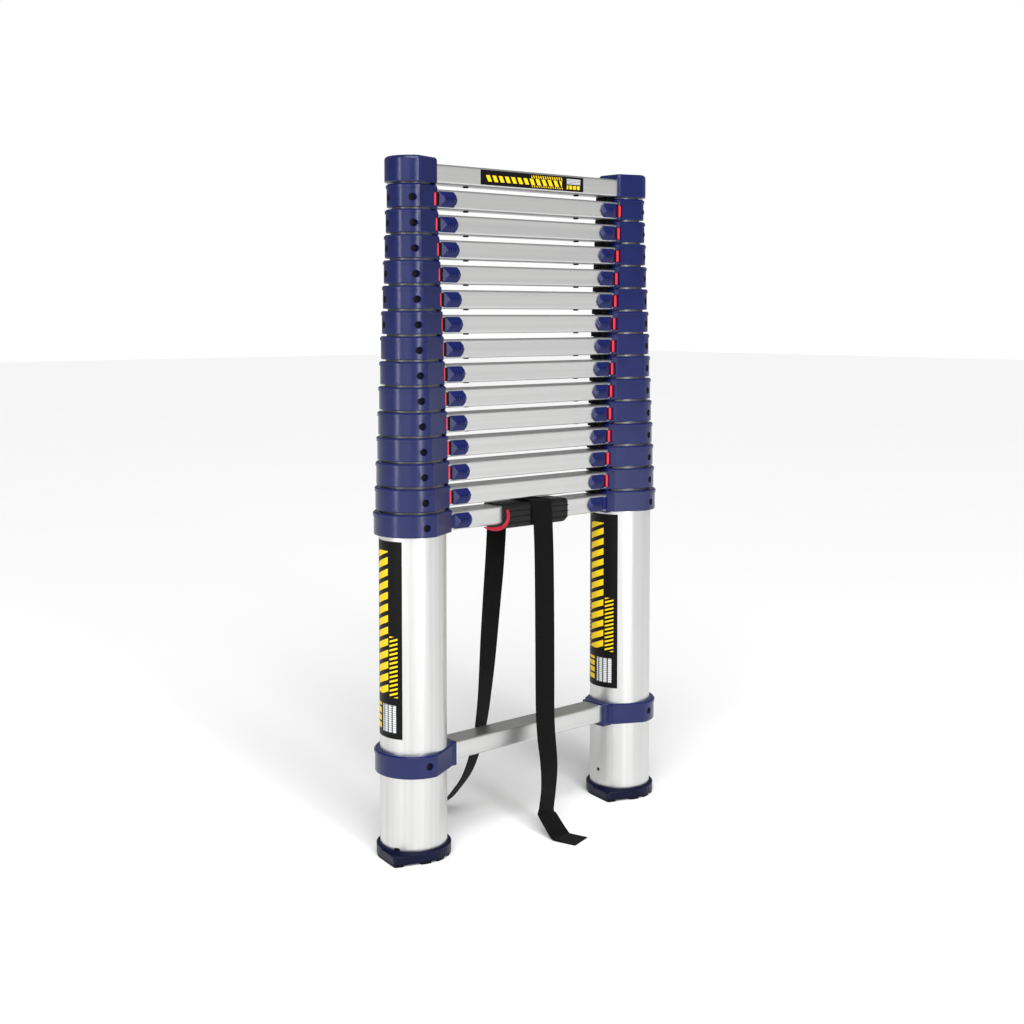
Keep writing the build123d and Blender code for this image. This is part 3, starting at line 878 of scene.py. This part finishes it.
# %% Label print
def bars(tree, across, up, count, slant, filled):
    """Slanted bars: so many per label length, and filled to a share of their pitch."""
    rise, lean = add_math(tree, "MULTIPLY", up, count), add_math(tree, "MULTIPLY", across, slant)
    above_zero = add_math(tree, "ADD", add_math(tree, "ADD", rise, lean), 10.0)
    return add_math(tree, "LESS_THAN", add_math(tree, "FRACT", above_zero), filled)


def all_of(tree, *masks):
    """1 where every mask is 1."""
    total = masks[0]
    for mask in masks[1:]:
        total = add_math(tree, "MULTIPLY", total, mask)
    return total


def make_print(name, slant):
    material, tree, shader, place = new_material(name)
    across, up = uv_axes(tree, "print")
    bold = all_of(
        tree, inside(tree, across, 0.24, 0.66), inside(tree, up, 0.22, 0.95),
        bars(tree, across, up, 17.0, slant, 0.60),
    )
    hatch = all_of(
        tree, inside(tree, across, 0.10, 0.90), inside(tree, up, 0.21, 0.52),
        bars(tree, across, up, 44.0, slant * 2.2, 0.42),
        add_math(tree, "SUBTRACT", 1.0, inside(tree, across, 0.20, 0.70)),
    )
    short = all_of(
        tree, inside(tree, across, 0.14, 0.40), inside(tree, up, 0.03, 0.17),
        bars(tree, across, up, 26.0, 0.0, 0.72),
    )
    pale = all_of(
        tree, inside(tree, across, 0.48, 0.86), inside(tree, up, 0.03, 0.17),
        bars(tree, across, up, 0.0, 9.0, 0.74), bars(tree, across, up, 90.0, 0.0, 0.8),
    )
    yellow = add_math(tree, "MAXIMUM", add_math(tree, "MAXIMUM", bold, hatch), short)
    worn = add_noise(tree, place, 160.0, 3.0)
    film = mix_colours(tree, worn, linear(5, 5, 5), linear(12, 12, 12))
    printed = mix_colours(tree, yellow, film, linear(232, 196, 20))
    tree.links.new(mix_colours(tree, pale, printed, linear(205, 207, 210)), shader.inputs["Base Color"])
    tree.links.new(add_range(tree, worn, 0.36, 0.50), shader.inputs["Roughness"])
    shader.inputs["Specular IOR Level"].default_value = 0.12
    add_bump(tree, shader, add_noise(tree, place, 700.0), 0.05, 0.0002)
    return material


# %% [markdown]
# A label on a tube is a slice of a cylinder a little larger than the tube. A fine cylinder is added all
# round the tube, the faces outside the label are deleted, and the rest is given the film's thickness.

# %% Tube labels
FILM_THICK = 0.0002
FILM_CLEAR = 0.00012  # between a tube and the middle of its film


def make_tube_label(name, side, z_range, angles, film):
    """Slice of a cylinder on a base tube, between two directions in degrees round the tube."""
    let_go()
    low, high = z_range
    start, end = (math.radians(angle) for angle in angles)
    centre = Vector((side * STILE_X, 0, (low + high) / 2))
    bpy.ops.mesh.primitive_cylinder_add(
        vertices=180, radius=BASE_TUBE_R + FILM_CLEAR, depth=high - low, end_fill_type="NOTHING",
        location=centre,
    )
    label = bpy.context.object
    label.name = name
    bpy.ops.object.transform_apply(location=True, rotation=True, scale=True)
    around = lambda point: math.atan2(point.y, point.x - centre.x) % (2 * math.pi)
    pick(label, "FACE", lambda face, middle: not start < around(middle) < end)
    bpy.ops.mesh.delete(type="FACE")
    bpy.ops.object.mode_set(mode="OBJECT")
    wall = label.modifiers.new("film", "SOLIDIFY")
    wall.thickness = FILM_THICK
    wall.offset = 1
    bpy.ops.object.modifier_apply(modifier=wall.name)
    sheet = label.data.uv_layers.new(name="print")
    for loop in label.data.loops:
        corner = label.data.vertices[loop.vertex_index].co
        share = (around(corner) - start) / (end - start)
        sheet.data[loop.index].uv = (share, (corner.z - low) / (high - low))
    smooth(30)
    dress(label, film, body_of(1))


tube_print = make_print("tube_print", -1.6)
make_tube_label("label_left_tube", LEFT, (0.160, 0.413), (132, 214), tube_print)
make_tube_label("label_right_tube", RIGHT, (0.162, 0.414), (134, 221), tube_print)


# %% [markdown]
# The top rung's front is flat, so its label starts as a thin block that is sunk a little into the rung. The
# print is turned to run along the rung.

# %% Top rung label
RUNG_LABEL_LEFT, RUNG_LABEL_RIGHT = -0.090, 0.096
RUNG_LABEL_HALF_HEIGHT = 0.0098
LABEL_SUNK = 0.0004  # how far its back lies under the rung's face


def make_rung_label():
    middle = collar_z(SECTIONS) + RUNG_RISE
    low = Vector((RUNG_LABEL_LEFT, -RUNG_HALF_DEPTH - FILM_THICK, middle - RUNG_LABEL_HALF_HEIGHT))
    high = Vector((RUNG_LABEL_RIGHT, -RUNG_HALF_DEPTH + LABEL_SUNK, middle + RUNG_LABEL_HALF_HEIGHT))
    label = add_block("label_top_rung", low, high)
    sheet = label.data.uv_layers.new(name="print")
    for loop in label.data.loops:
        corner = label.data.vertices[loop.vertex_index].co
        share = (corner.x - low.x) / (high.x - low.x)
        sheet.data[loop.index].uv = ((corner.z - low.z) / (high.z - low.z), 1 - share)
    dress(label, make_print("rung_print", -0.9), body_of(SECTIONS))


make_rung_label()
print("labels:", count_pieces("label_"))

# %% [markdown]
# ## Small pieces of the base
# A crimson rubber loop hooks round the left end of the grip and runs off along the rung's lower edge. It is
# drawn as a round curve, turned into a mesh and flattened a little.

# %% Crimson loop
LOOP_Y = -0.0222
LOOP_R = 0.0028
LOOP_FLATNESS = 0.6


def make_loop():
    data = bpy.data.curves.new("crimson_loop", "CURVE")
    data.dimensions = "3D"
    data.resolution_u = 10
    data.bevel_depth = LOOP_R
    data.bevel_resolution = 4
    data.use_fill_caps = True
    spline = data.splines.new("NURBS")
    turns = [  # x, z and relative thickness
        (-0.0485, 0.4385, 0.8), (-0.0462, 0.4340, 1.0), (-0.0460, 0.4265, 1.0), (-0.0498, 0.4190, 1.0),
        (-0.0570, 0.4150, 1.0), (-0.0660, 0.4140, 1.0), (-0.0760, 0.4150, 0.8), (-0.0840, 0.4172, 0.5),
        (-0.0885, 0.4188, 0.3),
    ]
    spline.points.add(len(turns) - 1)
    for point, (x, z, thickness) in zip(spline.points, turns):
        point.co = (x, LOOP_Y, z, 1)
        point.radius = thickness
    spline.order_u = 3
    spline.use_endpoint_u = True
    loop = bpy.data.objects.new("crimson_loop", data)
    bpy.context.collection.objects.link(loop)
    take(loop)
    bpy.ops.object.convert(target="MESH")
    loop = bpy.context.object
    bpy.ops.object.mode_set(mode="EDIT")
    bpy.ops.mesh.select_all(action="SELECT")
    bpy.ops.transform.resize(value=(1, LOOP_FLATNESS, 1), center_override=(0, LOOP_Y, 0))
    bpy.ops.mesh.normals_make_consistent(inside=False)
    bpy.ops.object.mode_set(mode="OBJECT")
    smooth(60)
    return loop


crimson = make_plastic("crimson_rubber", linear(150, 5, 36), linear(166, 10, 44), (0.42, 0.55), 1100.0)
crimson_loop = make_loop()
dress(crimson_loop, crimson, body_of(1))
print("faces in the loop:", len(crimson_loop.data.polygons))

# %% [markdown]
# The left base tube has a drain slot just above its foot. From any distance its shaded inside is a small
# black
# lens, so that shade is painted: a ball is squashed to that shape and set half into the tube.

# %% Drain slot
SLOT_DIRECTION = 203  # degrees round the left base tube
SLOT_Z = 0.0176
SLOT_HALF_SIZE = (0.0007, 0.0046, 0.0016)  # out of the tube, along its round, up


def make_drain_slot_shade():
    turn = math.radians(SLOT_DIRECTION)
    middle = Vector((-STILE_X + BASE_TUBE_R * math.cos(turn), BASE_TUBE_R * math.sin(turn), SLOT_Z))
    let_go()
    bpy.ops.mesh.primitive_uv_sphere_add(
        segments=24, ring_count=12, radius=1, location=middle, scale=SLOT_HALF_SIZE,
        rotation=(0, 0, turn),
    )
    slot = bpy.context.object
    slot.name = "drain_slot_shade"
    bpy.ops.object.transform_apply(location=True, rotation=True, scale=True)
    bpy.ops.object.shade_smooth()
    # painted shade: the black ball stands for the dark inside of the slot
    dress(slot, black_rubber, body_of(1))


make_drain_slot_shade()

# %% [markdown]
# ## Studio
# A white room: a pale floor and a surround that the camera sees as white, though it lights the ladder only
# weakly. Most light comes from a very soft sun at the left front. Two panels fill in from the sides, and two
# tall narrow ones draw upright highlights on tubes and collars.

# %% Floor and lights
SURROUND_LIGHT, SURROUND_SEEN = 0.27, 1.0  # its strength as a light, and as the camera sees it
SUN_POWER, SUN_SPREAD = 3.2, 50  # spread in degrees
SUN_DIRECTION = Vector((0.45, 0.62, -0.80))


def add_floor():
    let_go()
    bpy.ops.mesh.primitive_plane_add(size=40)
    floor = bpy.context.object
    floor.name = "studio_floor"
    material, tree, shader, place = new_material("studio_floor")
    tint = mix_colours(tree, add_noise(tree, place, 1.5), (0.93, 0.93, 0.93, 1), (0.95, 0.95, 0.95, 1))
    tree.links.new(tint, shader.inputs["Base Color"])
    shader.inputs["Roughness"].default_value = 0.9
    shader.inputs["Specular IOR Level"].default_value = 0.1
    floor.data.materials.append(material)


def add_light(name, kind, power, direction):
    """Light that shines along a direction."""
    data = bpy.data.lights.new(name, kind)
    data.energy = power
    light = bpy.data.objects.new(name, data)
    bpy.context.collection.objects.link(light)
    light.rotation_euler = direction.to_track_quat("-Z", "Y").to_euler()
    return light


def add_softbox(name, location, target, size, power):
    light = add_light(name, "AREA", power, Vector(target) - Vector(location))
    light.location = location
    light.data.shape = "RECTANGLE"
    light.data.size, light.data.size_y = size


def add_surround():
    world = bpy.data.worlds.new("white_room")
    world.use_nodes = True
    background = world.node_tree.nodes["Background"]
    background.inputs["Color"].default_value = (1, 1, 1, 1)
    seen = world.node_tree.nodes.new("ShaderNodeLightPath").outputs["Is Camera Ray"]
    strength = add_range(world.node_tree, seen, SURROUND_LIGHT, SURROUND_SEEN)
    world.node_tree.links.new(strength, background.inputs["Strength"])
    bpy.context.scene.world = world


add_floor()
add_surround()
add_light("window_light", "SUN", SUN_POWER, SUN_DIRECTION).data.angle = math.radians(SUN_SPREAD)
add_softbox("left_panel", (-3.4, -2.0, 1.3), (0, 0, 0.5), (2.4, 2.4), 20)
add_softbox("right_panel", (2.3, -2.7, 1.0), (0, 0, 0.5), (2.0, 2.0), 5)
add_softbox("front_strip", (-0.75, -2.9, 1.0), (0, 0, 0.6), (0.30, 2.2), 30)
add_softbox("side_strip", (-3.2, -0.1, 1.0), (0, 0, 0.6), (0.30, 2.2), 24)
bpy.context.scene.view_settings.view_transform = "Standard"
